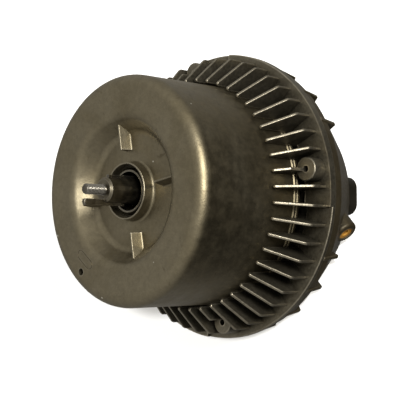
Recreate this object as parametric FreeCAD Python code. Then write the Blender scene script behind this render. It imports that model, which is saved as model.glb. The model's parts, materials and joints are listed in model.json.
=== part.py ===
"""External-rotor electronically commutated blower motor with a finned stator flange.

Every height below is a depth behind the rotor cup's front face. The +Z axis runs out of the cup along the
shaft, and the origin is on that axis, in the plane of the rear cover's pad, on which the motor stands.
Angles are counter-clockwise from +X, seen from the shaft end.
"""
import FreeCAD, Part

import math
import os

from FreeCAD import Vector

# Driving dimensions in millimetres.
OVERALL_DEPTH = 120.0        # cup front face to the rear cover's pad
CUP_R = 56.0
CUP_WALL = 2.0
CUP_DEPTH = 66.2
CUP_CORNER_R = 5.5
RECESS_DEPTH = 9.8
RECESS_TOP_R = 35.7
RECESS_FLOOR_R = 28.9
NECK_OUTER_R = 13.9
HUB_R = 12.9
NECK_DEPTH = 3.7
SHAFT_R = 6.0
SHAFT_REACH = 9.75           # how far the shaft stands out of the cup's front plane
SHAFT_END_DEPTH = 89.0
STUD_REACH = 21.0
FLANGE_R = 73.8
FLANGE_INNER_R = 58.0
FLANGE_FACE_DEPTH = 70.2
FLANGE_STEP = 1.9            # height of the two raised sectors of the flange
RIM_BACK_DEPTH = 72.6
FLANGE_BACK_DEPTH = 76.0
FIN_COUNT = 48
FIN_THICKNESS = 1.4
FIN_TIP_R = 57.0
FIN_TIP_DEPTH = 43.7
FIN_CORNER_R = 71.0
FIN_CORNER_DEPTH = 59.5
BOSS_COUNT = 4
BOSS_ANGLE = 11.0
BOSS_PITCH_R = 65.6
BOSS_R = 5.75
BOSS_DEPTH = 60.5
HOUSING_FRONT_R = 72.8
CONE_FRONT_R = 71.8
CONE_FRONT_DEPTH = 79.2
HOUSING_REAR_R = 51.5
HOUSING_REAR_DEPTH = 113.0
HOUSING_WALL = 2.5
COMPARTMENT_ANGLE = 3.3      # middle of the housing's smooth side
MAGNET_COUNT = 8
SLOT_COUNT = 12
AIR_GAP = 0.8
CORE_FRONT_DEPTH = 28.0
CORE_REAR_DEPTH = 54.0
BEARING_R = 14.0             # 6001 bearings: 12 x 28 x 8
BEARING_WIDTH = 8.0
FRONT_BEARING_DEPTH = 27.0
REAR_BEARING_DEPTH = 77.0

# Sizes that follow from the driving ones.
AXIS = Vector(0, 0, 1)
ORIGIN = Vector(0, 0, 0)
CUP_INNER_R = CUP_R - CUP_WALL
TUBE_R = 17.0                # outside of the bearing tube that carries the stator core
MAGNET_THICKNESS = 6.0
MAGNET_INNER_R = CUP_INNER_R - MAGNET_THICKNESS
CORE_R = MAGNET_INNER_R - AIR_GAP
SLOT_PITCH = 360.0 / SLOT_COUNT
FIN_PITCH = 360.0 / FIN_COUNT
GASKET_THICKNESS = 0.6
HOUSING_FRONT_DEPTH = RIM_BACK_DEPTH + GASKET_THICKNESS
SPIGOT_R = 69.4              # step behind the flange's rim that centres the housing
CONE_SLOPE = (CONE_FRONT_R - HOUSING_REAR_R) / (HOUSING_REAR_DEPTH - CONE_FRONT_DEPTH)
REAR_OPENING_R = 44.0
POST_R = 4.2                 # posts behind the flange that take the long rear screws
POST_PITCH_R = 36.0
POST_COUNT = 4
POST_ANGLE = 45.0
POST_END_DEPTH = 107.0
HUB_FACE_DEPTH = 5.75
HUB_BORE_R = 9.35
HUB_WEB_DEPTH = 20.0
HUB_BACK_DEPTH = 25.5
LEAD_PITCH_R = 36.0
LEAD_ANGLES = (168.0, 180.0, 192.0)
LEAD_R = 0.9
BOARD_FRONT_DEPTH = 86.0
BOARD_THICKNESS = 1.6
BOARD_R = 55.0

os.makedirs("parts", exist_ok=True)


# ---------------------------------------------------------------- helpers
def at(depth):
    """The height above the origin of a plane at a depth behind the cup's front face."""
    return OVERALL_DEPTH - depth


def save(name, shape):
    """Writes one node, after checking that it is sound."""
    assert shape.isValid() and shape.Volume > 0, name
    shape.exportStep(os.path.join("parts", name + ".step"))


def group(shapes):
    """Several separate solids in one node."""
    return Part.makeCompound(list(shapes))


def polar(shape, count, first=0.0, arc=360.0):
    """Copies of a shape at equal steps about the axis."""
    copies = []
    for index in range(count):
        copies.append(shape.rotated(ORIGIN, AXIS, first + index * arc / count))
    return copies


def spot(radius, angle, depth):
    """A point at a radius, an angle and a depth."""
    turn = math.radians(angle)
    return Vector(radius * math.cos(turn), radius * math.sin(turn), at(depth))


def rod(radius, front, back, pitch_r=0.0, angle=0.0):
    """A solid cylinder along the axis from one depth to a greater one."""
    return Part.makeCylinder(radius, back - front, spot(pitch_r, angle, back), AXIS)


def ring(outer, inner, front, back, pitch_r=0.0, angle=0.0):
    """A plain ring along the axis."""
    return rod(outer, front, back, pitch_r, angle).cut(rod(inner, front - 1, back + 1, pitch_r, angle))


def block(inner, outer, width, front, back, angle=0.0):
    """A box from one radius to another, centred on an angle."""
    box = Part.makeBox(outer - inner, width, back - front, Vector(inner, -width / 2, at(back)))
    return box.rotated(ORIGIN, AXIS, angle)


def outline(corners):
    """A closed wire in the XZ plane through (radius, depth, corner radius) points."""
    points = [Vector(r, 0, at(depth)) for r, depth, _ in corners]
    edges = []
    ends = []
    for index, (_, _, corner_r) in enumerate(corners):
        here = points[index]
        before = (points[index - 1] - here).normalize()
        after = (points[(index + 1) % len(points)] - here).normalize()
        if corner_r == 0:
            ends.append((here, here))
            continue
        half = before.getAngle(after) / 2
        reach = corner_r / math.tan(half)
        middle = here + (before + after).normalize() * (corner_r / math.sin(half) - corner_r)
        start = here + before * reach
        end = here + after * reach
        edges.append(Part.Arc(start, middle, end).toShape())
        ends.append((start, end))
    for index in range(len(points)):
        start = ends[index - 1][1]
        end = ends[index][0]
        if (end - start).Length > 1e-6:
            edges.append(Part.LineSegment(start, end).toShape())
    return Part.Wire(Part.__sortEdges__(edges))


def lathe(corners):
    """A solid of revolution from an outline."""
    return Part.Face(outline(corners)).revolve(ORIGIN, AXIS, 360)


def plate(corners, thickness, edge_r=0.0, angle=0.0):
    """A radial plate with the given outline, its long edges rounded when asked."""
    flat = Part.Face(outline(corners))
    flat.translate(Vector(0, -thickness / 2, 0))
    solid = flat.extrude(Vector(0, thickness, 0))
    if edge_r:
        rims = [edge for edge in solid.Edges if edge.BoundBox.YLength < 1e-6]
        solid = solid.makeFillet(edge_r, rims)
    return solid.rotated(ORIGIN, AXIS, angle)


def screw(head_r, head_height, shank_r, length, head_front, pitch_r, angle, facing=-1):
    """A pan-head screw with a six-lobe socket; facing -1 has its head towards the rear."""
    head = Part.makeCylinder(head_r, head_height)
    head = head.makeFillet(head_height * 0.35, [head.Edges[0]])
    socket = Part.makeCylinder(head_r * 0.42, head_height * 0.6, Vector(0, 0, head_height * 0.4))
    for lobe in range(6):
        turn = math.radians(60 * lobe)
        centre = Vector(head_r * 0.42 * math.cos(turn), head_r * 0.42 * math.sin(turn), head_height * 0.4)
        socket = socket.fuse(Part.makeCylinder(head_r * 0.14, head_height * 0.6, centre))
    shank = Part.makeCylinder(shank_r, length, Vector(0, 0, -length))
    body = head.cut(socket).fuse(shank)
    if facing < 0:
        body.rotate(ORIGIN, Vector(1, 0, 0), 180)
    body.translate(spot(pitch_r, angle, head_front))
    return body


# ---------------------------------------------------------------- rotor
def rotor_cup():
    """Deep-drawn steel cup with a dished front, four pressed gussets and a beaded rim."""
    bead = 0.6
    shell = lathe([
        (HUB_R, NECK_DEPTH, 0.4),
        (NECK_OUTER_R, NECK_DEPTH, 0.45),
        (NECK_OUTER_R, RECESS_DEPTH, 1.4),
        (RECESS_FLOOR_R, RECESS_DEPTH, 4.0),
        (RECESS_TOP_R, 0, 5.0),
        (CUP_R, 0, CUP_CORNER_R),
        (CUP_R, CUP_DEPTH - 4.0, 0.3),
        (CUP_R + bead, CUP_DEPTH - 3.4, 0.5),
        (CUP_R + bead, CUP_DEPTH - 2.6, 0.5),
        (CUP_R, CUP_DEPTH - 2.0, 0.3),
        (CUP_R + bead, CUP_DEPTH - 1.4, 0.5),
        (CUP_R + bead, CUP_DEPTH, 0.5),
        (CUP_INNER_R, CUP_DEPTH, 0.5),
        (CUP_INNER_R, CUP_WALL, CUP_CORNER_R - CUP_WALL),
        (RECESS_TOP_R + 0.8, CUP_WALL, 3.0),
        (RECESS_FLOOR_R + 0.8, RECESS_DEPTH + CUP_WALL, 6.0),
        (HUB_R, RECESS_DEPTH + CUP_WALL, 0),
    ])
    shell = shell.multiFuse(polar(gusset(), 4, 12.0))
    pin_hole = rod(1.75, -1, CUP_WALL + 1, 48.2, -124.0)
    oval_pitch_r = 41.5
    oval_angle = -125.5
    oval_length = 13.0
    oval_width = 5.0
    oval_depth = 0.25
    oval = oval_slab(oval_length, oval_width, oval_depth, oval_pitch_r, oval_angle)
    oval = oval.cut(oval_slab(oval_length - 1.2, oval_width - 1.2, oval_depth, oval_pitch_r, oval_angle))
    return shell.cut(pin_hole).cut(oval)


def gusset():
    """One pressed gusset across the foot of the dish's slope: narrow crest, drafted sides, flared feet."""
    inner_r = 20.4
    outer_r = 33.5
    crest_depth = 4.1
    crest_half = 0.45
    side_half = 1.9
    foot_half = 3.4
    base_depth = RECESS_DEPTH + 1.0
    section = Part.Face(outline([
        (-foot_half, base_depth, 0),
        (-foot_half, RECESS_DEPTH, 0),
        (-side_half, RECESS_DEPTH, 0.9),
        (-crest_half, crest_depth, 0.35),
        (crest_half, crest_depth, 0.35),
        (side_half, RECESS_DEPTH, 0.9),
        (foot_half, RECESS_DEPTH, 0),
        (foot_half, base_depth, 0),
    ]))
    rib = section.rotated(ORIGIN, AXIS, 90)
    rib.translate(Vector(inner_r, 0, 0))
    rib = rib.extrude(Vector(outer_r - inner_r, 0, 0))
    behind_dish = lathe([
        (0, RECESS_DEPTH + CUP_WALL, 0),
        (RECESS_FLOOR_R + 0.8, RECESS_DEPTH + CUP_WALL, 6.0),
        (RECESS_TOP_R + 0.8, CUP_WALL, 3.0),
        (CUP_INNER_R, CUP_WALL, 0),
        (CUP_INNER_R, 2 * RECESS_DEPTH, 0),
        (0, 2 * RECESS_DEPTH, 0),
    ])
    return rib.cut(behind_dish)


def oval_slab(length, width, depth, pitch_r, angle):
    """A flat-sided oval let into the cup's front face, its long side along the rim."""
    end_r = width / 2
    half = (length - width) / 2
    slab = Part.makeBox(width, 2 * half, depth + 1, Vector(pitch_r - end_r, -half, at(depth)))
    for side in (-half, half):
        slab = slab.fuse(Part.makeCylinder(end_r, depth + 1, Vector(pitch_r, side, at(depth))))
    return slab.removeSplitter().rotated(ORIGIN, AXIS, angle)


def rotor_hub():
    """Turned steel hub: pressed into the cup's neck, flanged behind its floor, pressed on the shaft."""
    flange_r = 20.0
    flange_back = RECESS_DEPTH + CUP_WALL + 3.0
    nose_r = 11.2
    nose_foot_depth = 8.6
    return lathe([
        (HUB_BORE_R, HUB_FACE_DEPTH, 0.3),
        (nose_r - 0.9, HUB_FACE_DEPTH, 0.3),
        (nose_r, HUB_FACE_DEPTH + 1.3, 0.3),
        (nose_r, nose_foot_depth, 0.3),
        (HUB_R, nose_foot_depth, 0),
        (HUB_R, RECESS_DEPTH + CUP_WALL, 0),
        (flange_r, RECESS_DEPTH + CUP_WALL, 0.4),
        (flange_r, flange_back, 0.6),
        (HUB_R, flange_back, 1.0),
        (HUB_R - 1.4, HUB_BACK_DEPTH, 0.5),
        (SHAFT_R, HUB_BACK_DEPTH, 0),
        (SHAFT_R, HUB_WEB_DEPTH, 0),
        (HUB_BORE_R, HUB_WEB_DEPTH, 1.0),
    ])


KEY_WIDTH = 1.5
KEY_FRONT = -7.3
KEY_BACK = 14.0
TANG_WIDTH = 2.0
TANG_BACK = 3.0
STUD_R = 2.5


def motor_shaft():
    """Ground steel shaft with a keyway, a tang slot, a tapped end and a circlip groove."""
    relief_depth = HUB_WEB_DEPTH - 1.2
    body = lathe([
        (0, -SHAFT_REACH, 0),
        (SHAFT_R - 1.0, -SHAFT_REACH, 0),
        (SHAFT_R, -SHAFT_REACH + 1.0, 0),
        (SHAFT_R, relief_depth - 1.0, 0),
        (SHAFT_R - 0.4, relief_depth - 0.8, 0),
        (SHAFT_R - 0.4, relief_depth, 0),
        (SHAFT_R, relief_depth + 0.2, 0),
        (SHAFT_R, CLIP_DEPTH, 0),
        (SHAFT_R - 0.5, CLIP_DEPTH, 0),
        (SHAFT_R - 0.5, CLIP_DEPTH + CLIP_THICKNESS, 0),
        (SHAFT_R, CLIP_DEPTH + CLIP_THICKNESS, 0),
        (SHAFT_R, SHAFT_END_DEPTH - 0.8, 0),
        (SHAFT_R - 0.8, SHAFT_END_DEPTH, 0),
        (0, SHAFT_END_DEPTH, 0),
    ])
    stud_bore = rod(STUD_R, -SHAFT_REACH - 1, 2.0)
    keyway = block(4.7, SHAFT_R + 2, KEY_WIDTH, KEY_FRONT, KEY_BACK, 90)
    tang_slot = block(4.4, SHAFT_R + 2, TANG_WIDTH, -SHAFT_REACH - 1, TANG_BACK, -90)
    return body.cut(stud_bore).cut(keyway).cut(tang_slot)


def shaft_stud():
    """M5 stud screwed into the shaft's end, its thread cut as close-set grooves."""
    pitch = 0.8
    groove = 0.5
    corners = [(0, -STUD_REACH, 0), (STUD_R - 0.7, -STUD_REACH, 0), (STUD_R, -STUD_REACH + 0.7, 0)]
    depth = -STUD_REACH + 1.1
    while depth < -SHAFT_REACH - pitch:
        corners.append((STUD_R, depth, 0))
        corners.append((STUD_R - groove, depth + pitch * 0.4, 0))
        corners.append((STUD_R, depth + pitch * 0.8, 0))
        depth += pitch
    corners.append((STUD_R, 2.0, 0))
    corners.append((0, 2.0, 0))
    return lathe(corners)


def drive_tang():
    """Flat driving bar set in the shaft's slot, with a rounded nose."""
    front = -STUD_REACH - 0.4
    return plate([(4.4, front, 1.3), (7.4, front, 1.3), (7.4, TANG_BACK, 0.3), (4.4, TANG_BACK, 0.3)],
                 TANG_WIDTH, 0.25, -90)


def shaft_key():
    """Feather key in the shaft's keyway."""
    return plate([(4.7, KEY_FRONT, 0.2), (7.3, KEY_FRONT, 0.3), (7.3, KEY_BACK, 0.3), (4.7, KEY_BACK, 0.2)],
                 KEY_WIDTH, 0, 90)


def rotor_magnets():
    """Ferrite segments bonded inside the cup, with a gap between neighbours."""
    hoop = ring(CUP_INNER_R, MAGNET_INNER_R, 21.0, 59.5)
    gap_width = 2.2
    sector = 360.0 / MAGNET_COUNT
    tools = polar(block(MAGNET_INNER_R - 3, CUP_INNER_R + 3, gap_width, 20.0, 60.5), MAGNET_COUNT, sector / 2)
    return group(hoop.cut(group(tools)).Solids)


def shaft_spacer():
    """Sleeve between the hub and the front bearing."""
    return ring(SHAFT_R + 2.2, SHAFT_R, HUB_BACK_DEPTH, FRONT_BEARING_DEPTH)


CLIP_THICKNESS = 1.0
CLIP_DEPTH = REAR_BEARING_DEPTH + BEARING_WIDTH


def retaining_ring():
    """Open circlip behind the rear bearing, with an eye at each end."""
    clip = ring(SHAFT_R + 1.3, SHAFT_R - 0.5, CLIP_DEPTH, CLIP_DEPTH + CLIP_THICKNESS)
    for side in (-22, 22):
        clip = clip.fuse(rod(1.5, CLIP_DEPTH, CLIP_DEPTH + CLIP_THICKNESS, SHAFT_R + 1.6, side))
    for side in (-22, 22):
        clip = clip.cut(rod(0.6, CLIP_DEPTH - 1, CLIP_DEPTH + 2, SHAFT_R + 1.8, side))
    clip = clip.cut(rod(SHAFT_R - 0.5, CLIP_DEPTH - 1, CLIP_DEPTH + 2))
    return clip.cut(block(0, SHAFT_R + 4, 3.0, CLIP_DEPTH - 1, CLIP_DEPTH + 2, 0))


# ---------------------------------------------------------------- bearings
BALL_COUNT = 8
BALL_R = 2.38
BALL_PITCH_R = 10.0
RACE_GROOVE_R = BALL_R + 0.12


def bearing(front):
    """One 6001 ball bearing as its separate pieces, front face at the given depth."""
    middle = front + BEARING_WIDTH / 2
    back = front + BEARING_WIDTH
    groove = Part.makeTorus(BALL_PITCH_R, RACE_GROOVE_R, Vector(0, 0, at(middle)), AXIS)
    inner = lathe([(SHAFT_R, front, 0.3), (8.3, front, 0.2), (8.3, back, 0.2), (SHAFT_R, back, 0.3)])
    outer = lathe([(11.7, front, 0.2), (BEARING_R, front, 0.4), (BEARING_R, back, 0.4), (11.7, back, 0.2)])
    balls = polar(Part.makeSphere(BALL_R, spot(BALL_PITCH_R, 0, middle)), BALL_COUNT)
    pocket = Part.makeCylinder(BALL_R + 0.15, 4, Vector(BALL_PITCH_R - 2, 0, at(middle)), Vector(1, 0, 0))
    pockets = polar(pocket, BALL_COUNT)
    cage = ring(10.9, 9.1, middle - 3.0, middle + 3.0).cut(group(pockets))
    shields = []
    for start in (front + 0.3, back - 0.7):
        shields.append(ring(11.7, 8.65, start, start + 0.4))
    return inner.cut(groove), outer.cut(groove), group(balls), cage, group(shields)


def preload_spring():
    """Disc spring that pushes the rear bearing's outer race away from its shoulder."""
    front = REAR_BEARING_DEPTH - 1.2
    return lathe([(11.6, front, 0), (12.2, front, 0), (13.8, REAR_BEARING_DEPTH - 0.4, 0),
                  (13.8, REAR_BEARING_DEPTH, 0), (13.0, REAR_BEARING_DEPTH, 0), (11.6, front + 0.5, 0)])


# ---------------------------------------------------------------- stator
def stator_flange():
    """Die-cast flange: finned outer ring, floor, bearing tube, bosses and rear screw posts."""
    tube_inner_r = 12.5
    hub_r = 19.0
    floor_front = 72.0
    body = lathe([
        (BEARING_R, FRONT_BEARING_DEPTH - 0.5, 0.3),
        (TUBE_R, FRONT_BEARING_DEPTH - 0.5, 0.8),
        (TUBE_R, floor_front, 1.5),
        (FLANGE_INNER_R, floor_front, 0.8),
        (FLANGE_INNER_R, FLANGE_FACE_DEPTH, 0.5),
        (FLANGE_R, FLANGE_FACE_DEPTH, 0.6),
        (FLANGE_R, RIM_BACK_DEPTH, 0.5),
        (SPIGOT_R, RIM_BACK_DEPTH, 0),
        (SPIGOT_R, FLANGE_BACK_DEPTH, 0.5),
        (hub_r, FLANGE_BACK_DEPTH, 1.5),
        (hub_r, CLIP_DEPTH + 1.5, 0.8),
        (BEARING_R, CLIP_DEPTH + 1.5, 0.3),
        (BEARING_R, REAR_BEARING_DEPTH - 1.2, 0),
        (tube_inner_r, REAR_BEARING_DEPTH - 1.2, 0),
        (tube_inner_r, FRONT_BEARING_DEPTH + BEARING_WIDTH, 0),
        (BEARING_R, FRONT_BEARING_DEPTH + BEARING_WIDTH, 0),
    ])
    step = ring(FLANGE_R, FLANGE_INNER_R, FLANGE_FACE_DEPTH - FLANGE_STEP, FLANGE_FACE_DEPTH + 1.0)
    quarter = Part.makeBox(100, 100, 200)
    raised = step.common(quarter.rotated(ORIGIN, AXIS, -4.0))
    fin_root = floor_front + 0.3
    fin = plate([(FIN_TIP_R, FIN_TIP_DEPTH, 1.1), (FIN_CORNER_R, FIN_CORNER_DEPTH, 3.0),
                 (FIN_CORNER_R, fin_root, 0), (FIN_TIP_R, fin_root, 0)], FIN_THICKNESS, 0.45)
    boss = rod(BOSS_R, BOSS_DEPTH, floor_front, BOSS_PITCH_R)
    boss = boss.makeFillet(0.6, [boss.Edges[0]])
    post = rod(POST_R, FLANGE_BACK_DEPTH - 1, POST_END_DEPTH, POST_PITCH_R)
    pieces = [raised, raised.rotated(ORIGIN, AXIS, 180)]
    pieces += polar(fin, FIN_COUNT, BOSS_ANGLE)
    pieces += polar(boss, BOSS_COUNT, BOSS_ANGLE)
    pieces += polar(post, POST_COUNT, POST_ANGLE)
    body = body.multiFuse(pieces)
    boss_hole_r = 1.6
    above_boss = block(BOSS_PITCH_R, FLANGE_R, FIN_THICKNESS + 1, FIN_TIP_DEPTH, BOSS_DEPTH)
    above_boss = above_boss.fuse(rod(boss_hole_r, FIN_TIP_DEPTH, BOSS_DEPTH + 3, BOSS_PITCH_R))
    body = body.cut(group(polar(above_boss, BOSS_COUNT, BOSS_ANGLE)))
    cuts = polar(rod(2.5, BOSS_DEPTH + 5, FLANGE_BACK_DEPTH + 1, BOSS_PITCH_R), BOSS_COUNT, BOSS_ANGLE)
    cuts += polar(rod(2.0, POST_END_DEPTH - 14, POST_END_DEPTH + 1, POST_PITCH_R), POST_COUNT, POST_ANGLE)
    cuts.append(lead_slot(LEAD_SLOT_R))
    return body.cut(group(cuts))


LEAD_SLOT_R = 3.6


def lead_slot(radius):
    """The curved slot through the flange's floor that the winding leads pass through."""
    hoop = ring(LEAD_PITCH_R + radius, LEAD_PITCH_R - radius, 71.0, 77.0)
    spread = 17.0
    wedge = Part.makeCylinder(80, 20, Vector(0, 0, at(80)), AXIS, 2 * spread)
    slot = hoop.common(wedge.rotated(ORIGIN, AXIS, 180 - spread))
    for side in (-spread, spread):
        slot = slot.fuse(rod(radius, 71.0, 77.0, LEAD_PITCH_R, 180 + side))
    return slot.removeSplitter()


def lead_grommet():
    """Rubber plug in the lead slot, with a bore for each lead."""
    plug = lead_slot(LEAD_SLOT_R).common(ring(60, 20, 71.2, 76.8))
    bores = [rod(LEAD_R + 0.02, 70, 78, LEAD_PITCH_R, angle) for angle in LEAD_ANGLES]
    return plug.cut(group(bores))


TOOTH_WIDTH = 7.0
INSULATION = 0.7
YOKE_R = 24.0


def stator_core():
    """Laminated core with twelve T-shaped teeth, pressed on the bearing tube."""
    core = ring(YOKE_R, TUBE_R, CORE_FRONT_DEPTH, CORE_REAR_DEPTH)
    tooth = block(YOKE_R - 1, CORE_R - 1, TOOTH_WIDTH, CORE_FRONT_DEPTH, CORE_REAR_DEPTH)
    shoes = ring(CORE_R, CORE_R - 3.0, CORE_FRONT_DEPTH, CORE_REAR_DEPTH)
    opening = block(CORE_R - 6, CORE_R + 3, 3.0, CORE_FRONT_DEPTH - 1, CORE_REAR_DEPTH + 1)
    shoes = shoes.cut(group(polar(opening, SLOT_COUNT, SLOT_PITCH / 2)))
    return core.multiFuse(polar(tooth, SLOT_COUNT) + [shoes]).removeSplitter()


COIL_INNER_R = 26.6
COIL_OUTER_R = 42.0
COIL_BUILD = 2.3


def insulator(face, middle, sign):
    """Moulded end cap over one half of the core: tooth channels, two flanges and a collar."""
    def slab(inner, outer, width, near, far, angle=0.0):
        return block(inner, outer, width, min(near, far), max(near, far), angle)

    outside = face + sign * INSULATION
    lip = outside + sign * 3.4
    collar = ring(YOKE_R - 0.2, TUBE_R + 0.4, min(face, outside), max(face, outside))
    wall = ring(COIL_INNER_R - 0.2, YOKE_R - 0.2, min(face, lip), max(face, lip))
    channel = slab(YOKE_R - 1, CORE_R - 3.2, TOOTH_WIDTH + 2 * INSULATION, middle, outside)
    lug = slab(COIL_OUTER_R + 0.2, CORE_R - 3.2, 11.0, face, lip)
    body = collar.multiFuse([wall] + polar(channel.fuse(lug), SLOT_COUNT))
    inside = slab(0, CORE_R, TOOTH_WIDTH, middle - sign, face)
    body = body.cut(group(polar(inside, SLOT_COUNT)))
    inner_core = ring(YOKE_R, TUBE_R - 1, min(middle - sign, face), max(middle - sign, face))
    return body.cut(inner_core).removeSplitter()


def coil():
    """One wound coil around a tooth, rounded as the wire rounds it."""
    half_width = TOOTH_WIDTH / 2 + INSULATION
    front = CORE_FRONT_DEPTH - INSULATION
    back = CORE_REAR_DEPTH + INSULATION
    outer = block(COIL_INNER_R, COIL_OUTER_R, 2 * (half_width + COIL_BUILD), front - COIL_BUILD,
                  back + COIL_BUILD)
    long_edges = [edge for edge in outer.Edges if edge.BoundBox.XLength > 10]
    outer = outer.makeFillet(2.0, long_edges)
    return outer.cut(block(COIL_INNER_R - 1, COIL_OUTER_R + 1, 2 * half_width, front, back))


def phase_coils(phase):
    """The four coils of one phase, three teeth apart."""
    return group(polar(coil(), SLOT_COUNT // 3, phase * SLOT_PITCH))


HALL_BOARD_FRONT = 61.0
HALL_BOARD_BACK = 62.6


def hall_board():
    """Annular sensor board behind the windings."""
    board = ring(45.0, 18.6, HALL_BOARD_FRONT, HALL_BOARD_BACK)
    holes = [rod(LEAD_R + 0.02, 60, 64, LEAD_PITCH_R, angle) for angle in LEAD_ANGLES]
    holes += [rod(1.2, 60, 64, HALL_POST_PITCH_R, angle) for angle in HALL_POST_ANGLES]
    return board.cut(group(holes))


HALL_POST_ANGLES = (30.0, 150.0, 270.0)
HALL_POST_PITCH_R = 21.0


def hall_board_posts():
    """Moulded pegs that stand on the core's end cap and carry the sensor board."""
    pegs = []
    for angle in HALL_POST_ANGLES:
        foot = rod(2.0, CORE_REAR_DEPTH + INSULATION, HALL_BOARD_FRONT, HALL_POST_PITCH_R, angle)
        peg = rod(1.1, HALL_BOARD_FRONT - 1, HALL_BOARD_BACK + 1.0, HALL_POST_PITCH_R, angle)
        pegs.append(foot.fuse(peg))
    return group(pegs)


def hall_sensors():
    """Three sensors that read the passing magnets."""
    chip = block(41.0, 44.5, 4.0, HALL_BOARD_FRONT - 1.2, HALL_BOARD_FRONT)
    return group([chip.rotated(ORIGIN, AXIS, angle) for angle in (60.0, 90.0, 120.0)])


def phase_leads():
    """Three stiff leads from the windings to the control board."""
    back = BOARD_FRONT_DEPTH + BOARD_THICKNESS + 1.5
    return group([rod(LEAD_R, 60.0, back, LEAD_PITCH_R, angle) for angle in LEAD_ANGLES])


# ---------------------------------------------------------------- electronics
ENTRY_END_R = 65.0
ENTRY_ANGLE = -16.0
ENTRY_DEPTH = 96.0
ENTRY_HEADING = -45.0
ENTRY_BOSS_R = 6.4
ENTRY_BORE_R = 3.7
ENTRY_SEAL_R = 4.7
CABLE_R = 1.8


def entry_rod(radius, near, far):
    """A cylinder along the cable entry, measured inwards from its mouth."""
    mouth = spot(ENTRY_END_R, ENTRY_ANGLE, ENTRY_DEPTH)
    turn = math.radians(ENTRY_HEADING)
    outward = Vector(math.cos(turn), math.sin(turn), 0)
    return Part.makeCylinder(radius, far - near, mouth - outward * far, outward)


def cone_shell(inset, front, back):
    """The housing's outer form shrunk by an inset: a short drafted wall and a cone."""
    rear_r = CONE_FRONT_R - inset - CONE_SLOPE * (back - CONE_FRONT_DEPTH)
    corner = 2.5 if inset == 0 else 1.0
    return lathe([(0, front, 0), (HOUSING_FRONT_R - inset, front, 0),
                  (CONE_FRONT_R - inset, CONE_FRONT_DEPTH, 1.0), (rear_r, back, corner), (0, back, 0)])


def electronics_housing():
    """Die-cast rear housing: cone, rear ribs beside a smooth side, cable entry boss, connector window."""
    outer = cone_shell(0, HOUSING_FRONT_DEPTH, HOUSING_REAR_DEPTH)
    fin = plate([(58.0, HOUSING_FRONT_DEPTH, 0), (FLANGE_R - 0.4, HOUSING_FRONT_DEPTH, 0.4),
                 (70.8, 87.4, 0.6), (60.0, 88.6, 0)], 2.0, 0.5)
    first_fin = 27.8
    fin_pitch = 15.0
    fin_pairs = 10
    fins = [fin.rotated(ORIGIN, AXIS, COMPARTMENT_ANGLE + 180)]
    for index in range(fin_pairs):
        swing = first_fin + index * fin_pitch
        fins.append(fin.rotated(ORIGIN, AXIS, COMPARTMENT_ANGLE - swing))
        fins.append(fin.rotated(ORIGIN, AXIS, COMPARTMENT_ANGLE + swing))
    boss = entry_rod(ENTRY_BOSS_R, 0, 22)
    boss = boss.makeFillet(1.6, [edge for edge in boss.Edges if edge.Length > 20][:1])
    body = outer.multiFuse(fins + [boss, flash_line()])
    cavity = cone_shell(HOUSING_WALL, HOUSING_FRONT_DEPTH - 1, HOUSING_REAR_DEPTH - 3.0)
    body = body.cut(cavity.cut(entry_rod(ENTRY_BOSS_R, -1, 22)))
    body = body.cut(rod(REAR_OPENING_R, HOUSING_REAR_DEPTH - 4, HOUSING_REAR_DEPTH + 1))
    body = body.cut(entry_rod(ENTRY_BORE_R, -1, 30))
    body = body.cut(entry_rod(ENTRY_SEAL_R, 1.5, 30))
    return body


def flash_line():
    """Thin line of metal that the die's parting left along the cone, beside the cable entry."""
    height = 0.2
    front = CONE_FRONT_DEPTH + 1.0
    back = HOUSING_REAR_DEPTH - 6.0
    front_r = CONE_FRONT_R - CONE_SLOPE * (front - CONE_FRONT_DEPTH)
    back_r = CONE_FRONT_R - CONE_SLOPE * (back - CONE_FRONT_DEPTH)
    return plate([(front_r + height, front, 0), (back_r + height, back, 0), (back_r - 1, back, 0),
                  (front_r - 1, front, 0)], 0.4, 0, -11.6)


def entry_seal():
    """Silicone seal in the cable entry, with its bore for the cable."""
    seal = entry_rod(ENTRY_SEAL_R, 1.5, 14.0).fuse(entry_rod(ENTRY_BORE_R, 0.7, 3.0))
    return seal.cut(entry_rod(CABLE_R, 0, 16)).removeSplitter()


def housing_gasket():
    """Flat gasket between the flange and the housing."""
    return ring(HOUSING_FRONT_R, SPIGOT_R, RIM_BACK_DEPTH, HOUSING_FRONT_DEPTH)


CARRIER_FRONT = FLANGE_BACK_DEPTH
CARRIER_THICKNESS = 2.0
STANDOFF_PITCH_R = 50.0
STANDOFF_ANGLE = 26.0


def board_carrier():
    """Moulded tray screwed to the flange's bosses; its standoffs hold the control board."""
    back = CARRIER_FRONT + CARRIER_THICKNESS
    tray = ring(57.0, 44.0, CARRIER_FRONT, back)
    ear = rod(3.4, CARRIER_FRONT, back, BOSS_PITCH_R)
    ear = ear.fuse(block(50.0, BOSS_PITCH_R, 6.8, CARRIER_FRONT, back))
    standoff = rod(3.0, CARRIER_FRONT, BOARD_FRONT_DEPTH, STANDOFF_PITCH_R)
    body = tray.multiFuse(polar(ear, BOSS_COUNT, BOSS_ANGLE) + polar(standoff, 4, STANDOFF_ANGLE))
    cuts = polar(rod(2.5, 70, 90, BOSS_PITCH_R), BOSS_COUNT, BOSS_ANGLE)
    cuts += polar(rod(1.5, 70, 90, STANDOFF_PITCH_R), 4, STANDOFF_ANGLE)
    return body.cut(group(cuts)).removeSplitter()


def carrier_screws():
    """Four M5 screws through the tray's ears into the flange's bosses."""
    head_front = CARRIER_FRONT + CARRIER_THICKNESS
    one = screw(3.3, 2.2, 2.5, 11.0, head_front, BOSS_PITCH_R, 0)
    return group(polar(one, BOSS_COUNT, BOSS_ANGLE))


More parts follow.
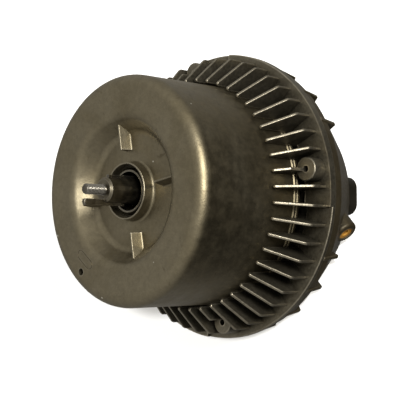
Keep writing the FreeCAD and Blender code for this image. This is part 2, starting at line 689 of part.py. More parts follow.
def board_screws():
    """Four M3 screws that hold the control board to the tray."""
    head_front = BOARD_FRONT_DEPTH + BOARD_THICKNESS
    one = screw(2.7, 1.8, 1.5, 7.0, head_front, STANDOFF_PITCH_R, 0)
    return group(polar(one, 4, STANDOFF_ANGLE))


def control_board():
    """Round control board with clearance for the rear screw posts and the bearing hub."""
    back = BOARD_FRONT_DEPTH + BOARD_THICKNESS
    board = ring(BOARD_R, 21.0, BOARD_FRONT_DEPTH, back)
    holes = polar(rod(POST_R + 0.5, 80, 95, POST_PITCH_R), POST_COUNT, POST_ANGLE)
    holes += polar(rod(1.5, 80, 95, STANDOFF_PITCH_R), 4, STANDOFF_ANGLE)
    holes += [rod(LEAD_R, 80, 95, LEAD_PITCH_R, angle) for angle in LEAD_ANGLES]
    return board.cut(group(holes))


BOARD_BACK_DEPTH = BOARD_FRONT_DEPTH + BOARD_THICKNESS


def bulk_capacitors():
    """Three electrolytic cans standing on the control board."""
    cans = []
    for angle in (70.0, 92.0, 114.0):
        can = rod(6.0, BOARD_BACK_DEPTH, BOARD_BACK_DEPTH + 20.0, 37.0, angle)
        cans.append(can.makeFillet(0.8, [can.Edges[0], can.Edges[2]]))
    return group(cans)


def line_choke():
    """Wound ring core of the input filter."""
    centre = spot(34.0, -90, BOARD_BACK_DEPTH + 5.5)
    return Part.makeTorus(7.0, 3.6, centre, AXIS)


def power_transistors():
    """Six flat-pack transistors in two rows on the control board."""
    packs = []
    for angle in (152.0, 166.0, 180.0, 194.0):
        packs.append(block(41.0, 51.0, 7.0, BOARD_BACK_DEPTH, BOARD_BACK_DEPTH + 2.4, angle))
    for angle in (172.0, 188.0):
        packs.append(block(24.0, 32.0, 6.0, BOARD_BACK_DEPTH, BOARD_BACK_DEPTH + 2.4, angle))
    return group(packs)


def controller_chip():
    """Motor-control processor."""
    return block(25.0, 33.0, 8.0, BOARD_BACK_DEPTH, BOARD_BACK_DEPTH + 1.6, 16)


TERMINAL_ANGLE = -14.0


def terminal_block():
    """Three-way terminal block by the cable entry, with its clamp holes."""
    body = block(30.0, 41.0, 16.0, BOARD_BACK_DEPTH, BOARD_BACK_DEPTH + 10.0, TERMINAL_ANGLE)
    holes = []
    for side in (-5.0, 0.0, 5.0):
        hole = Part.makeCylinder(1.6, 8, Vector(34, side, at(BOARD_BACK_DEPTH + 5)), Vector(1, 0, 0))
        holes.append(hole.rotated(ORIGIN, AXIS, TERMINAL_ANGLE))
    return body.cut(group(holes))


COVER_FRONT = HOUSING_REAR_DEPTH
COVER_PLATE_BACK = 116.2
COVER_R = 48.5
PAD_R = 43.5
SOCKET_WIDTH = 20.0
SOCKET_INNER_R = 37.0
SOCKET_OUTER_R = 51.0
SOCKET_WALL = 1.6


def socket_block(inset, front, back):
    """The connector shroud's rounded box, shrunk by an inset."""
    box = block(SOCKET_INNER_R + inset, SOCKET_OUTER_R - inset, SOCKET_WIDTH - 2 * inset, front, back)
    uprights = [edge for edge in box.Edges if edge.BoundBox.ZLength > 1]
    return box.makeFillet(6.0 - inset, uprights).rotated(ORIGIN, AXIS, COMPARTMENT_ANGLE - 1)


def rear_cover():
    """Black moulded cover with a spigot, a raised pad, screw wells and the connector shroud."""
    spigot_back = COVER_FRONT - 3.0
    cover = lathe([
        (0, COVER_FRONT, 0),
        (REAR_OPENING_R - 2.6, COVER_FRONT, 0),
        (REAR_OPENING_R - 2.6, spigot_back, 0.3),
        (REAR_OPENING_R - 0.6, spigot_back, 0.3),
        (REAR_OPENING_R - 0.6, COVER_FRONT, 0),
        (COVER_R, COVER_FRONT, 0),
        (COVER_R, COVER_PLATE_BACK, 1.2),
        (PAD_R, COVER_PLATE_BACK, 0.8),
        (PAD_R, OVERALL_DEPTH, 1.2),
        (0, OVERALL_DEPTH, 0),
    ])
    shroud = socket_block(0, COVER_FRONT, OVERALL_DEPTH)
    cover = cover.fuse(shroud)
    hollow = lathe([(0, COVER_FRONT - 1, 0), (PAD_R - 2.5, COVER_FRONT - 1, 0),
                    (PAD_R - 2.5, OVERALL_DEPTH - 2.5, 1.0), (0, OVERALL_DEPTH - 2.5, 0)])
    columns = polar(rod(6.5, COVER_FRONT, OVERALL_DEPTH, POST_PITCH_R), POST_COUNT, POST_ANGLE)
    hollow = hollow.cut(group(columns)).cut(socket_block(-0.8, COVER_FRONT - 2, OVERALL_DEPTH + 1))
    cover = cover.cut(hollow)
    cover = cover.cut(socket_block(SOCKET_WALL, COVER_FRONT + 1.8, OVERALL_DEPTH + 1))
    wells = polar(rod(4.4, OVERALL_DEPTH - 3.6, OVERALL_DEPTH + 1, POST_PITCH_R), POST_COUNT, POST_ANGLE)
    holes = polar(rod(2.2, COVER_FRONT - 1, OVERALL_DEPTH + 1, POST_PITCH_R), POST_COUNT, POST_ANGLE)
    return cover.cut(group(wells + holes + rib_grooves())).cut(socket_pins())


def rib_grooves():
    """Shallow radial grooves that stiffen and mark the cover's pad."""
    grooves = []
    for angle in range(0, 360, 30):
        if angle % 90 != 0:
            grooves.append(block(14.0, 30.0, 1.6, OVERALL_DEPTH - 0.8, OVERALL_DEPTH + 1, angle))
    return grooves


def cover_gasket():
    """Ring seal on the cover's spigot."""
    return lathe([(REAR_OPENING_R - 0.6, COVER_FRONT - 1.8, 0.2), (REAR_OPENING_R, COVER_FRONT - 1.8, 0.2),
                  (REAR_OPENING_R, COVER_FRONT - 0.2, 0.2), (REAR_OPENING_R - 0.6, COVER_FRONT - 0.2, 0.2)])


def cover_screws():
    """Four long M4 screws through the rear cover into the flange's posts."""
    head_seat = OVERALL_DEPTH - 3.6
    length = head_seat - (POST_END_DEPTH - 12)
    one = screw(3.8, 2.6, 2.0, length, head_seat, POST_PITCH_R, 0)
    return group(polar(one, POST_COUNT, POST_ANGLE))


def post_spacers():
    """Tubes between the flange's posts and the cover, which keep the cover from bowing."""
    one = ring(POST_R, 2.1, POST_END_DEPTH, COVER_FRONT, POST_PITCH_R)
    return group(polar(one, POST_COUNT, POST_ANGLE))


def socket_pins():
    """Five flat contacts in the connector shroud."""
    pins = []
    for index in range(5):
        side = (index - 2) * 3.2
        pin = Part.makeBox(0.6, 1.4, 5.2, Vector(41.5, side - 0.7, at(OVERALL_DEPTH - 1.2)))
        pins.append(pin.rotated(ORIGIN, AXIS, COMPARTMENT_ANGLE - 1))
    return group(pins)


# ---------------------------------------------------------------- build
NODES = {
    "rotor_cup": rotor_cup(),
    "rotor_hub": rotor_hub(),
    "rotor_magnets": rotor_magnets(),
    "motor_shaft": motor_shaft(),
    "shaft_stud": shaft_stud(),
    "drive_tang": drive_tang(),
    "shaft_key": shaft_key(),
    "shaft_spacer": shaft_spacer(),
    "retaining_ring": retaining_ring(),
    "preload_spring": preload_spring(),
    "stator_flange": stator_flange(),
    "lead_grommet": lead_grommet(),
    "stator_core": stator_core(),
    "front_insulator": insulator(CORE_FRONT_DEPTH, 41.0, -1),
    "rear_insulator": insulator(CORE_REAR_DEPTH, 41.0, 1),
    "phase_u_coils": phase_coils(0),
    "phase_v_coils": phase_coils(1),
    "phase_w_coils": phase_coils(2),
    "hall_board": hall_board(),
    "hall_board_posts": hall_board_posts(),
    "hall_sensors": hall_sensors(),
    "phase_leads": phase_leads(),
    "electronics_housing": electronics_housing(),
    "entry_seal": entry_seal(),
    "housing_gasket": housing_gasket(),
    "board_carrier": board_carrier(),
    "carrier_screws": carrier_screws(),
    "board_screws": board_screws(),
    "control_board": control_board(),
    "bulk_capacitors": bulk_capacitors(),
    "line_choke": line_choke(),
    "power_transistors": power_transistors(),
    "controller_chip": controller_chip(),
    "terminal_block": terminal_block(),
    "rear_cover": rear_cover(),
    "cover_gasket": cover_gasket(),
    "cover_screws": cover_screws(),
    "post_spacers": post_spacers(),
    "socket_pins": socket_pins(),
}
for end, front in (("front", FRONT_BEARING_DEPTH), ("rear", REAR_BEARING_DEPTH)):
    pieces = bearing(front)
    for piece, solid in zip(("inner_race", "outer_race", "balls", "cage", "shields"), pieces):
        NODES[end + "_bearing_" + piece] = solid

for node, shape in NODES.items():
    save(node, shape)
    print(node, len(shape.Solids), round(shape.Volume, 1))
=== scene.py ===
"""Looks for the external-rotor blower motor: materials, the stud's thread, light, floor and camera.

Everything is in metres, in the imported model's own frame: +Z runs out of the rotor cup along the shaft, and the
floor is the plane of the rear cover's pad. Colours are linear RGB.
"""

import json
import math

import bmesh
import bpy
from mathutils import Matrix, Vector


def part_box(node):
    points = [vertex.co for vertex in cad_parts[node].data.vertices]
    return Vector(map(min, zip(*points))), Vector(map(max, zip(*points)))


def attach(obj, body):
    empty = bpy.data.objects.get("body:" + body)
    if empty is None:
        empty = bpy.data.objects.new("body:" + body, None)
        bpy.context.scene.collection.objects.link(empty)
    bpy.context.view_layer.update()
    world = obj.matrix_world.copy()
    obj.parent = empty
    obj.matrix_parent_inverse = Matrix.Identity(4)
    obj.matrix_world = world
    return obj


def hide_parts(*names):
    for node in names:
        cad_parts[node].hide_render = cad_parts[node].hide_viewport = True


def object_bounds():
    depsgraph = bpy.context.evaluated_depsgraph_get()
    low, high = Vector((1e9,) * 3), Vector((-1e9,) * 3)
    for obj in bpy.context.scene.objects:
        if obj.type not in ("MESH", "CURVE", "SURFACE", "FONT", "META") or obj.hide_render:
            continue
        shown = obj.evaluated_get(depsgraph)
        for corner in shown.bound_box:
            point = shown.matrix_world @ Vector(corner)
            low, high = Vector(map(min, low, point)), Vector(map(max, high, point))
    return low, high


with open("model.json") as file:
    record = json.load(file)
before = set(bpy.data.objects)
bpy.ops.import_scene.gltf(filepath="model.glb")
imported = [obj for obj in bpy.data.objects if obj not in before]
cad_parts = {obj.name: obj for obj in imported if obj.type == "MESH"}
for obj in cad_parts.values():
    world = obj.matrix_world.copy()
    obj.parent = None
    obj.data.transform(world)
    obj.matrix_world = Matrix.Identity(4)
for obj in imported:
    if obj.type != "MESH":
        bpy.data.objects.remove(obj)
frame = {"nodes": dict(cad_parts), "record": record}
CAD_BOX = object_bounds()
NODES = frame["nodes"]
MM = 0.001


# ---------------------------------------------------------------- node graph helper
class Graph:
    """One material's node tree, with a Principled shader at its end."""

    def __init__(self, name, metallic=0.0, roughness=0.5, **sockets):
        self.material = bpy.data.materials.new(name)
        self.material.use_nodes = True
        self.tree = self.material.node_tree
        self.tree.nodes.clear()
        self.shader = self.tree.nodes.new("ShaderNodeBsdfPrincipled")
        output = self.tree.nodes.new("ShaderNodeOutputMaterial")
        self.tree.links.new(self.shader.outputs[0], output.inputs[0])
        self.place = self.tree.nodes.new("ShaderNodeTexCoord").outputs["Object"]
        self.shader.inputs["Metallic"].default_value = metallic
        self.shader.inputs["Roughness"].default_value = roughness
        for socket, value in sockets.items():
            self.shader.inputs[socket.replace("_", " ")].default_value = value
        self.normal = None

    def feed(self, socket, value):
        """Links a value to a socket when it comes from a node, and sets it when it is plain."""
        if isinstance(value, bpy.types.NodeSocket):
            self.tree.links.new(value, socket)
        elif isinstance(value, tuple) and len(value) == 3 and socket.type == "RGBA":
            socket.default_value = (*value, 1.0)
        else:
            socket.default_value = value

    def math(self, operation, first, second=0.0):
        node = self.tree.nodes.new("ShaderNodeMath")
        node.operation = operation
        for socket, value in zip(node.inputs, (first, second)):
            self.feed(socket, value)
        return node.outputs[0]

    def remap(self, value, low, high, to_low=0.0, to_high=1.0):
        """Maps low..high to to_low..to_high, held at both ends."""
        node = self.tree.nodes.new("ShaderNodeMapRange")
        node.interpolation_type = "SMOOTHSTEP"
        for socket, number in zip(node.inputs, (value, low, high, to_low, to_high)):
            self.feed(socket, number)
        return node.outputs[0]

    def mix(self, factor, first, second):
        """A colour between two others."""
        node = self.tree.nodes.new("ShaderNodeMix")
        node.data_type = "RGBA"
        self.feed(node.inputs["Factor"], factor)
        self.feed(node.inputs[6], first)
        self.feed(node.inputs[7], second)
        return node.outputs[2]

    def shade(self, colour, factor):
        """A colour made lighter or darker."""
        node = self.tree.nodes.new("ShaderNodeVectorMath")
        node.operation = "SCALE"
        self.feed(node.inputs[0], colour)
        self.feed(node.inputs["Scale"], factor)
        return node.outputs[0]

    def vector(self, x, y, z):
        node = self.tree.nodes.new("ShaderNodeCombineXYZ")
        for socket, value in zip(node.inputs, (x, y, z)):
            self.feed(socket, value)
        return node.outputs[0]

    def noise(self, size, detail=3.0, roughness=0.5, distortion=0.0, place=None):
        """Noise whose features are about size metres across; its middle is 0.5."""
        node = self.tree.nodes.new("ShaderNodeTexNoise")
        self.feed(node.inputs["Vector"], place or self.place)
        node.inputs["Scale"].default_value = 1.0 / size
        node.inputs["Detail"].default_value = detail
        node.inputs["Roughness"].default_value = roughness
        node.inputs["Distortion"].default_value = distortion
        return node.outputs["Fac"]

    def cells(self, size, feature="F1", place=None, jitter=1.0):
        """Voronoi cells about size metres across: the distance and the cell's own colour."""
        node = self.tree.nodes.new("ShaderNodeTexVoronoi")
        node.feature = feature
        self.feed(node.inputs["Vector"], place or self.place)
        node.inputs["Scale"].default_value = 1.0 / size
        node.inputs["Randomness"].default_value = jitter
        return node.outputs["Distance"], node.outputs["Color"] if feature == "F1" else None

    def parts(self):
        """The X, Y and Z of a surface point."""
        node = self.tree.nodes.new("ShaderNodeSeparateXYZ")
        self.feed(node.inputs[0], self.place)
        return node.outputs

    def polar(self):
        """Distance from the shaft's axis, angle about it in radians, and height."""
        x, y, z = self.parts()
        radius = self.math("SQRT", self.math("ADD", self.math("MULTIPLY", x, x), self.math("MULTIPLY", y, y)))
        return radius, self.math("ARCTAN2", y, x), z

    def turned(self, across=1.0, along=0.004):
        """A space in which noise runs in lines round the shaft's axis."""
        radius, angle, z = self.polar()
        return self.vector(self.math("MULTIPLY", radius, across), self.math("MULTIPLY", z, across),
                           self.math("MULTIPLY", angle, along))

    def specks(self, size, share, radius):
        """Small round marks, one in each of a share of the cells: 1 inside a mark, else 0."""
        distance, colour = self.cells(size)
        split = self.tree.nodes.new("ShaderNodeSeparateColor")
        self.feed(split.inputs[0], colour)
        chosen = self.math("LESS_THAN", split.outputs[0], share)
        inside = self.remap(distance, radius * 0.6, radius, 1.0, 0.0)
        return self.math("MULTIPLY", chosen, inside)

    def occlusion(self, distance, inside=False, samples=6):
        node = self.tree.nodes.new("ShaderNodeAmbientOcclusion")
        node.samples = samples
        node.inside = inside
        node.only_local = inside
        node.inputs["Distance"].default_value = distance
        return node.outputs["AO"]

    # Its users lighten edges for wear, and on the cast metal and the cup also as a painted highlight.
    def edge_mask(self, distance):
        """1 on outer edges and thin crests, 0 on broad faces."""
        return self.remap(self.occlusion(distance, inside=True), 0.92, 0.55)

    def shade_and_dust_mask(self, distance):
        """1 deep in corners and gaps, 0 in the open: the mask for painted shade, and for dust on moulded parts.
        """
        return self.remap(self.occlusion(distance), 0.75, 0.2)

    def bump(self, height, depth, strength=1.0):
        """Adds relief: height 0..1 stands for depth metres."""
        node = self.tree.nodes.new("ShaderNodeBump")
        self.feed(node.inputs["Height"], height)
        node.inputs["Distance"].default_value = depth
        node.inputs["Strength"].default_value = strength
        if self.normal is not None:
            self.feed(node.inputs["Normal"], self.normal)
        self.normal = node.outputs[0]

    def finish(self, colour, roughness=None):
        self.feed(self.shader.inputs["Base Color"], colour)
        if roughness is not None:
            self.feed(self.shader.inputs["Roughness"], roughness)
        if self.normal is not None:
            self.feed(self.shader.inputs["Normal"], self.normal)
        return self.material


# ---------------------------------------------------------------- metals
def cup_steel():
    """Drawn steel with a dull plated skin: clouded, finely grained and stained, with small nicks and pits."""
    g = Graph("cup_steel", metallic=1.0)
    clouds = g.noise(0.035, 4.0, 0.55, 0.6)
    mottle = g.noise(0.0022, 5.0, 0.6)
    grain = g.noise(0.00045, 2.0, 0.5)
    colour = g.mix(g.remap(clouds, 0.3, 0.7), (0.150, 0.128, 0.082), (0.185, 0.162, 0.112))
    colour = g.shade(colour, g.remap(mottle, 0.25, 0.75, 0.9, 1.1))
    colour = g.shade(colour, g.remap(grain, 0.2, 0.8, 0.93, 1.07))
    radius, angle, z = g.polar()
    streaks = g.noise(0.0012, 3.0, 0.55, place=g.vector(g.math("MULTIPLY", angle, 0.05), radius,
                                                        g.math("MULTIPLY", z, 0.03)))
    colour = g.shade(colour, g.remap(streaks, 0.3, 0.7, 0.98, 1.02))
    stain_noise = g.noise(0.011, 4.0, 0.6, 1.2)
    stains = g.remap(stain_noise, 0.64, 0.74, 0.0, 0.5)
    colour = g.mix(stains, colour, (0.075, 0.060, 0.036))
    nicks = g.specks(0.012, 0.30, 0.0006 / 0.012)
    colour = g.mix(nicks, colour, (0.75, 0.72, 0.62))
    pits = g.specks(0.0065, 0.10, 0.0003 / 0.0065)
    colour = g.mix(pits, colour, (0.05, 0.04, 0.025))
    # Outer edges and crests are lightened: partly wear, partly a painted highlight along the crests.
    rim_wear_and_highlight = g.edge_mask(0.0009)
    colour = g.mix(g.math("MULTIPLY", rim_wear_and_highlight, 0.45), colour, (0.36, 0.33, 0.27))
    roughness = g.remap(g.noise(0.006, 4.0, 0.6), 0.3, 0.7, 0.40, 0.50)
    roughness = g.math("ADD", roughness, g.math("MULTIPLY", stains, 0.12))
    roughness = g.math("SUBTRACT", roughness, g.math("MULTIPLY", nicks, 0.2))
    g.bump(g.noise(0.00075, 3.0, 0.6), 0.00006)
    g.bump(g.noise(0.012, 2.0, 0.5), 0.00012)
    return g.finish(colour, roughness)


def cast_metal(name, metallic, dark, light, edge_wear_and_highlight, roughness_low, roughness_high, edge_reach, shade_reach):
    """Die-cast aluminium as it comes from the die: grainy, with painted shade darkening its gaps, and edges
    lightened partly by wear and partly by a painted highlight.
    """
    g = Graph(name, metallic=metallic)
    clouds = g.noise(0.018, 4.0, 0.6, 0.8)
    grain = g.noise(0.0011, 4.0, 0.65)
    colour = g.mix(g.remap(clouds, 0.3, 0.7), dark, light)
    colour = g.shade(colour, g.remap(grain, 0.25, 0.75, 0.82, 1.18))
    flow = g.noise(0.004, 3.0, 0.6, 2.5)
    colour = g.shade(colour, g.remap(flow, 0.3, 0.7, 0.92, 1.08))
    # Painted shade: deep in the gaps between fins and in corners the colour goes nearly black.
    painted_gap_shade = g.math("MULTIPLY", g.shade_and_dust_mask(shade_reach), g.remap(g.noise(0.005, 3.0), 0.3, 0.6, 0.7, 1.0))
    colour = g.mix(painted_gap_shade, colour, (0.008, 0.007, 0.004))
    # Edges and fin crests are lightened: partly wear, partly a painted highlight along the crests.
    patchy = g.remap(g.noise(0.003, 3.0, 0.6), 0.3, 0.6, 0.45, 1.0)
    edges = g.math("MULTIPLY", g.edge_mask(edge_reach), patchy)
    colour = g.mix(edges, colour, edge_wear_and_highlight)
    roughness = g.remap(grain, 0.3, 0.7, roughness_low, roughness_high)
    roughness = g.math("SUBTRACT", roughness, g.math("MULTIPLY", edges, 0.12))
    roughness = g.math("ADD", roughness, g.math("MULTIPLY", painted_gap_shade, 0.25))
    g.bump(grain, 0.00009)
    g.bump(g.noise(0.0004, 2.0, 0.5), 0.00003)
    g.bump(g.noise(0.009, 2.0), 0.00025)
    return g.finish(colour, roughness)


def machined_steel(name, colour_low, colour_high, roughness, line_size, wear=0.6, shade_reach=0.004):
    """Turned or ground steel with tool lines round the axis."""
    g = Graph(name, metallic=1.0)
    lines = g.noise(line_size, 3.0, 0.7, place=g.turned())
    patches = g.noise(0.004, 3.0, 0.6)
    colour = g.mix(g.remap(lines, 0.3, 0.7), colour_low, colour_high)
    colour = g.shade(colour, g.remap(patches, 0.3, 0.7, 0.86, 1.1))
    edges = g.math("MULTIPLY", g.edge_mask(0.0006), wear)
    colour = g.mix(edges, colour, (0.55, 0.52, 0.46))
    # Painted shade: the colour goes nearly black in gaps and down holes.
    painted_gap_shade = g.math("MULTIPLY", g.shade_and_dust_mask(shade_reach), 0.85)
    colour = g.mix(painted_gap_shade, colour, (0.008, 0.006, 0.004))
    gloss = g.remap(patches, 0.3, 0.7, roughness - 0.06, roughness + 0.08)
    g.bump(lines, 0.000018)
    return g.finish(colour, gloss)


def sheet_steel(name, colour, roughness):
    """Small stamped or formed steel pieces."""
    g = Graph(name, metallic=1.0)
    grain = g.noise(0.0005, 4.0, 0.6)
    shaded = g.shade(colour, g.remap(grain, 0.25, 0.75, 0.85, 1.12))
    edges = g.math("MULTIPLY", g.edge_mask(0.0004), 0.5)
    shaded = g.mix(edges, shaded, (0.6, 0.58, 0.53))
    g.bump(grain, 0.00001)
    return g.finish(shaded, g.remap(grain, 0.3, 0.7, roughness - 0.05, roughness + 0.07))


def ferrite():
    g = Graph("ferrite", metallic=0.2)
    grain = g.noise(0.0004, 4.0, 0.7)
    colour = g.mix(g.remap(grain, 0.3, 0.7), (0.018, 0.018, 0.02), (0.045, 0.045, 0.048))
    colour = g.mix(g.math("MULTIPLY", g.edge_mask(0.0005), 0.5), colour, (0.11, 0.11, 0.11))
    g.bump(grain, 0.00004)
    return g.finish(colour, g.remap(grain, 0.3, 0.7, 0.55, 0.7))


def lamination_steel():
    """Stacked half-millimetre sheets, blued, with the sheet edges showing as lines."""
    sheet = 0.5 * MM
    g = Graph("lamination_steel", metallic=1.0)
    height = g.parts()[2]
    wave = g.math("SINE", g.math("MULTIPLY", height, 2 * math.pi / sheet))
    grain = g.noise(0.0012, 3.0, 0.6)
    colour = g.mix(g.remap(wave, -0.9, 0.3), (0.035, 0.036, 0.042), (0.16, 0.16, 0.18))
    colour = g.shade(colour, g.remap(grain, 0.3, 0.7, 0.8, 1.15))
    g.bump(g.remap(wave, -1.0, 0.2), 0.00006)
    return g.finish(colour, g.remap(grain, 0.3, 0.7, 0.38, 0.5))


def copper_wire():
    """Enamelled wire laid turn beside turn; the turns lie at equal steps away from the axis."""
    wire = 0.7 * MM
    g = Graph("copper_wire", metallic=0.9, Coat_Weight=0.4, Coat_Roughness=0.15)
    radius = g.polar()[0]
    sway = g.math("MULTIPLY", g.noise(0.006, 2.0), 0.0005)
    wave = g.math("SINE", g.math("MULTIPLY", g.math("ADD", radius, sway), 2 * math.pi / wire))
    patches = g.noise(0.003, 3.0, 0.6)
    # Painted shade: the colour darkens towards near black in the grooves between turns.
    colour = g.mix(g.remap(wave, -1.0, 0.1), (0.10, 0.022, 0.006), (0.62, 0.21, 0.07))
    colour = g.shade(colour, g.remap(patches, 0.3, 0.7, 0.82, 1.12))
    g.bump(g.remap(wave, -1.0, 1.0), 0.00022)
    return g.finish(colour, g.remap(patches, 0.3, 0.7, 0.24, 0.36))


# ---------------------------------------------------------------- plastics and rubber
def moulded(name, low, high, roughness, grain_size=0.0006, relief=0.00003, **sockets):
    """Moulded plastic or rubber: fine grain, rubbed edges, and a dusty tone in its corners that is partly
    painted shade.
    """
    g = Graph(name, **sockets)
    grain = g.noise(grain_size, 3.0, 0.6)
    clouds = g.noise(0.012, 3.0, 0.5)
    colour = g.mix(g.remap(clouds, 0.3, 0.7), low, high)
    colour = g.shade(colour, g.remap(grain, 0.25, 0.75, 0.88, 1.12))
    rubbed = tuple(min(1.0, channel * 1.6 + 0.012) for channel in high)
    colour = g.mix(g.math("MULTIPLY", g.edge_mask(0.0007), 0.6), colour, rubbed)
    # Corners take a dusty tone: on the black plastics it is paler, real dust; on the pale and coloured ones it
    # is darker, painted shade.
    dust_and_shade = tuple(channel * 0.6 + 0.006 for channel in low)
    colour = g.mix(g.math("MULTIPLY", g.shade_and_dust_mask(0.003), 0.5), colour, dust_and_shade)
    g.bump(grain, relief)
    return g.finish(colour, g.remap(clouds, 0.3, 0.7, roughness - 0.05, roughness + 0.06))


def circuit_board():
    """Green solder mask over copper tracks, with bare glass-fibre edges."""
    g = Graph("circuit_board", Coat_Weight=0.3, Coat_Roughness=0.2)
    distance = g.cells(0.0035, "DISTANCE_TO_EDGE", jitter=0.35)[0]
    tracks = g.remap(distance, 0.05, 0.09, 1.0, 0.0)
    colour = g.mix(tracks, (0.012, 0.075, 0.030), (0.035, 0.16, 0.055))
    weave = g.noise(0.0008, 2.0)
    colour = g.shade(colour, g.remap(weave, 0.3, 0.7, 0.9, 1.1))
    colour = g.mix(g.edge_mask(0.0005), colour, (0.35, 0.33, 0.16))
    g.bump(tracks, 0.00004)
    return g.finish(colour, g.remap(weave, 0.3, 0.7, 0.3, 0.42))


def capacitor_sleeve():
    """Dark shrink sleeve with a pale stripe down each can."""
    g = Graph("capacitor_sleeve", Coat_Weight=0.5, Coat_Roughness=0.1)
    radius = g.polar()[0]
    crinkle = g.noise(0.0015, 4.0, 0.6, 1.0)
    colour = g.mix(g.remap(crinkle, 0.3, 0.7), (0.012, 0.014, 0.03), (0.022, 0.026, 0.06))
    stripe = g.remap(g.math("ABSOLUTE", g.math("SUBTRACT", radius, 0.0425)), 0.0006, 0.0009, 1.0, 0.0)
    colour = g.mix(g.math("MULTIPLY", stripe, 0.6), colour, (0.5, 0.5, 0.52))
    g.bump(crinkle, 0.00006)
    return g.finish(colour, g.remap(crinkle, 0.3, 0.7, 0.25, 0.4))


MATERIALS = {
    "cup_steel": cup_steel(),
    "turned_steel": machined_steel("turned_steel", (0.11, 0.098, 0.072), (0.17, 0.153, 0.115), 0.36, 0.00035,
                                   0.8, 0.010),
    "shaft_steel": machined_steel("shaft_steel", (0.10, 0.088, 0.062), (0.17, 0.150, 0.112), 0.34, 0.0003,
                                  0.6, 0.007),
    "stud_steel": sheet_steel("stud_steel", (0.11, 0.100, 0.082), 0.30),
    "bearing_steel": machined_steel("bearing_steel", (0.50, 0.50, 0.50), (0.62, 0.62, 0.62), 0.16, 0.0002),
    "spring_steel": sheet_steel("spring_steel", (0.16, 0.16, 0.17), 0.38),
    "zinc_steel": sheet_steel("zinc_steel", (0.50, 0.50, 0.49), 0.30),
    "ferrite": ferrite(),
    "lamination_steel": lamination_steel(),
    "cast_aluminium": cast_metal("cast_aluminium", 0.95, (0.115, 0.103, 0.076), (0.160, 0.145, 0.110),
                                 (0.42, 0.38, 0.30), 0.40, 0.52, 0.0009, 0.009),
    "cast_housing": cast_metal("cast_housing", 0.6, (0.034, 0.026, 0.012), (0.052, 0.041, 0.022),
                               (0.16, 0.135, 0.09), 0.42, 0.56, 0.0009, 0.008),
    "copper_wire": copper_wire(),
    "contact_brass": sheet_steel("contact_brass", (0.72, 0.52, 0.22), 0.26),
    "white_nylon": moulded("white_nylon", (0.62, 0.60, 0.54), (0.74, 0.73, 0.68), 0.42),
    "black_plastic": moulded("black_plastic", (0.007, 0.006, 0.004), (0.012, 0.010, 0.007), 0.55, 0.0008,
                             0.00008, Specular_IOR_Level=0.2),
    "black_epoxy": moulded("black_epoxy", (0.014, 0.014, 0.014), (0.024, 0.024, 0.025), 0.6, 0.0003, 0.00002),
    "green_plastic": moulded("green_plastic", (0.02, 0.16, 0.05), (0.03, 0.22, 0.07), 0.4),
    "circuit_board": circuit_board(),
    "capacitor_sleeve": capacitor_sleeve(),
    "black_rubber": moulded("black_rubber", (0.016, 0.016, 0.016), (0.028, 0.028, 0.027), 0.65, 0.0005,
                            0.00005),
    "orange_silicone": moulded("orange_silicone", (0.30, 0.13, 0.015), (0.42, 0.20, 0.03), 0.5, 0.0007,
                               0.00003, Subsurface_Weight=0.1),
}


def stud_thread():
    """The stud's thread as one real helix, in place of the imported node's separate rings."""
    pitch, groove, bevel = 0.8 * MM, 0.45 * MM, 0.7 * MM
    steps, rows_per_turn = 48, 12
    low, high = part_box("shaft_stud")
    radius = (high[0] - low[0]) / 2
    shaft_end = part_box("motor_shaft")[1][2]
    rows = round((high[2] - low[2]) / pitch * rows_per_turn)
    mesh = bmesh.new()
    rings = []
    for row in range(rows + 1):
        z = low[2] + (high[2] - low[2]) * row / rows
        run_out = min(1.0, max(0.0, (z - shaft_end) / pitch))
        ring = []
        for step in range(steps):
            phase = (z / pitch - step / steps) % 1.0
            flank = min(1.0, max(0.0, 1.3 * (1.0 - abs(2.0 * phase - 1.0)) - 0.15))
            reach = min(radius - groove * run_out * flank, radius - bevel + high[2] - z)
            angle = 2 * math.pi * step / steps
            ring.append(mesh.verts.new((reach * math.cos(angle), reach * math.sin(angle), z)))
        rings.append(ring)
    for lower, upper in zip(rings, rings[1:]):
        for step in range(steps):
            after = (step + 1) % steps
            mesh.faces.new((lower[step], lower[after], upper[after], upper[step]))
    mesh.faces.new(rings[0][::-1])
    mesh.faces.new(rings[-1])
    data = bpy.data.meshes.new("stud_thread")
    mesh.to_mesh(data)
    mesh.free()
    data.shade_smooth()
    data.set_sharp_from_angle(angle=math.radians(50))
    stud = bpy.data.objects.new("stud_thread", data)
    bpy.context.scene.collection.objects.link(stud)
    stud.data.materials.append(MATERIALS["stud_steel"])
    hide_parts("shaft_stud")
    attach(stud, "rotor")


def dress_nodes():
    """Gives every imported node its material."""
    for row in frame["record"]["subparts"]:
        node = NODES[row["node"]]
        node.data.materials.clear()
        node.data.materials.append(MATERIALS[row["material_slot"]])


# ---------------------------------------------------------------- light, floor and camera
def floor():
    """A pale floor in the plane that the motor stands on."""
    below_the_motor = -0.2 * MM
    bpy.ops.mesh.primitive_circle_add(vertices=96, radius=6.0, fill_type="NGON",
                                      location=(0, 0, below_the_motor))
    disc = bpy.context.object
    disc.name = "floor"
    g = Graph("floor_paper", roughness=0.9)
    soft = g.noise(0.6, 2.0)
    disc.data.materials.append(g.finish(g.mix(soft, (0.86, 0.86, 0.86), (0.90, 0.90, 0.895))))
    disc.visible_glossy = False
    disc.visible_diffuse = False
    return disc


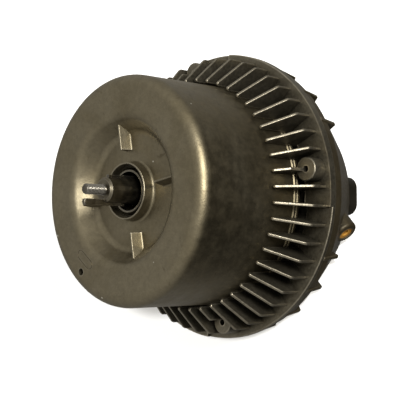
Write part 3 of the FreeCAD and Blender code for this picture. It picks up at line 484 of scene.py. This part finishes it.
def panel(name, direction, distance, width, watts, colour=(1.0, 1.0, 1.0)):
    """A square soft box that faces the motor from a direction."""
    data = bpy.data.lights.new(name, "AREA")
    data.shape = "SQUARE"
    data.size = width
    data.energy = watts
    data.color = colour
    lamp = bpy.data.objects.new(name, data)
    bpy.context.scene.collection.objects.link(lamp)
    away = Vector(direction).normalized()
    middle = (CAD_BOX[0] + CAD_BOX[1]) / 2
    lamp.location = middle + away * distance
    lamp.rotation_mode = "QUATERNION"
    lamp.rotation_quaternion = away.to_track_quat("Z", "Y")
    lamp.visible_camera = False
    return lamp


def only_lights(lamp, *objects):
    """Limits a lamp to some objects."""
    lit = bpy.data.collections.new(lamp.name + "_lit")
    for item in objects:
        lit.objects.link(item)
    lamp.light_linking.receiver_collection = lit


# The room's brightness is ROOM_LEVEL, plus ROOM_SLOPE times the direction looked in, less the screens.
ROOM_LEVEL = 0.55
ROOM_SLOPE = (0.05, 0.08, 0.27)
ROOM_DARKEST = 0.02
# Dark screens: the direction each stands in, the cosine at which it begins and how much light it takes.
SCREEN_FULL = 0.96
SCREENS = (((-0.97, 0.0, 0.243), 0.72, 0.12), ((0.86, -0.10, -0.50), 0.15, 0.50))


def surroundings():
    """A pale room, brightest overhead, with a dark screen on the left and another behind to the right.

    The camera sees plain white in its place.
    """
    world = bpy.data.worlds.new("room")
    bpy.context.scene.world = world
    world.use_nodes = True
    tree = world.node_tree
    tree.nodes.clear()
    coordinates = tree.nodes.new("ShaderNodeTexCoord")

    def along(direction):
        node = tree.nodes.new("ShaderNodeVectorMath")
        node.operation = "DOT_PRODUCT"
        node.inputs[1].default_value = direction
        tree.links.new(coordinates.outputs["Generated"], node.inputs[0])
        return node.outputs["Value"]

    def combine(operation, first, second):
        node = tree.nodes.new("ShaderNodeMath")
        node.operation = operation
        tree.links.new(first, node.inputs[0])
        if isinstance(second, float):
            node.inputs[1].default_value = second
        else:
            tree.links.new(second, node.inputs[1])
        return node.outputs[0]

    level = combine("ADD", along(ROOM_SLOPE), ROOM_LEVEL)
    for direction, begins, taken in SCREENS:
        screen = tree.nodes.new("ShaderNodeMapRange")
        screen.interpolation_type = "SMOOTHSTEP"
        tree.links.new(along(direction), screen.inputs[0])
        screen.inputs[1].default_value = begins
        screen.inputs[2].default_value = SCREEN_FULL
        screen.inputs[4].default_value = taken
        level = combine("SUBTRACT", level, screen.outputs[0])
    level = combine("MAXIMUM", level, ROOM_DARKEST)
    room = tree.nodes.new("ShaderNodeBackground")
    room.inputs["Color"].default_value = (1.0, 0.975, 0.92, 1.0)
    tree.links.new(level, room.inputs["Strength"])
    seen = tree.nodes.new("ShaderNodeBackground")
    seen.inputs["Color"].default_value = (1.0, 1.0, 1.0, 1.0)
    ray = tree.nodes.new("ShaderNodeLightPath")
    pick = tree.nodes.new("ShaderNodeMixShader")
    tree.links.new(ray.outputs["Is Camera Ray"], pick.inputs[0])
    tree.links.new(room.outputs[0], pick.inputs[1])
    tree.links.new(seen.outputs[0], pick.inputs[2])
    output = tree.nodes.new("ShaderNodeOutputWorld")
    tree.links.new(pick.outputs[0], output.inputs[0])


def lights(disc):
    panel("key", (0.8165, 0.27, 0.498), distance=0.9, width=0.30, watts=13.0, colour=(1.0, 0.975, 0.92))
    wash = panel("floor_wash", (0.655, 0.075, 0.752), distance=2.0, width=0.08, watts=34.0)
    only_lights(wash, disc)


def camera():
    """The camera, by its place, the direction it looks back along, and which way is up in its picture."""
    data = bpy.data.cameras.new("camera")
    data.sensor_width = 36.0
    data.lens = 94.02
    view = bpy.data.objects.new("camera", data)
    bpy.context.scene.collection.objects.link(view)
    back = Vector((0.7045, -0.0256, 0.7092)).normalized()
    up = Vector((0.0, 0.99935, 0.0361))
    right = up.cross(back).normalized()
    up = back.cross(right)
    turn = Matrix((right, up, back)).transposed().to_4x4()
    view.matrix_world = Matrix.Translation((0.3776, -0.0162, 0.4452)) @ turn
    bpy.context.scene.camera = view


dress_nodes()
stud_thread()
surroundings()
lights(floor())
camera()
bpy.context.scene.view_settings.view_transform = "Standard"
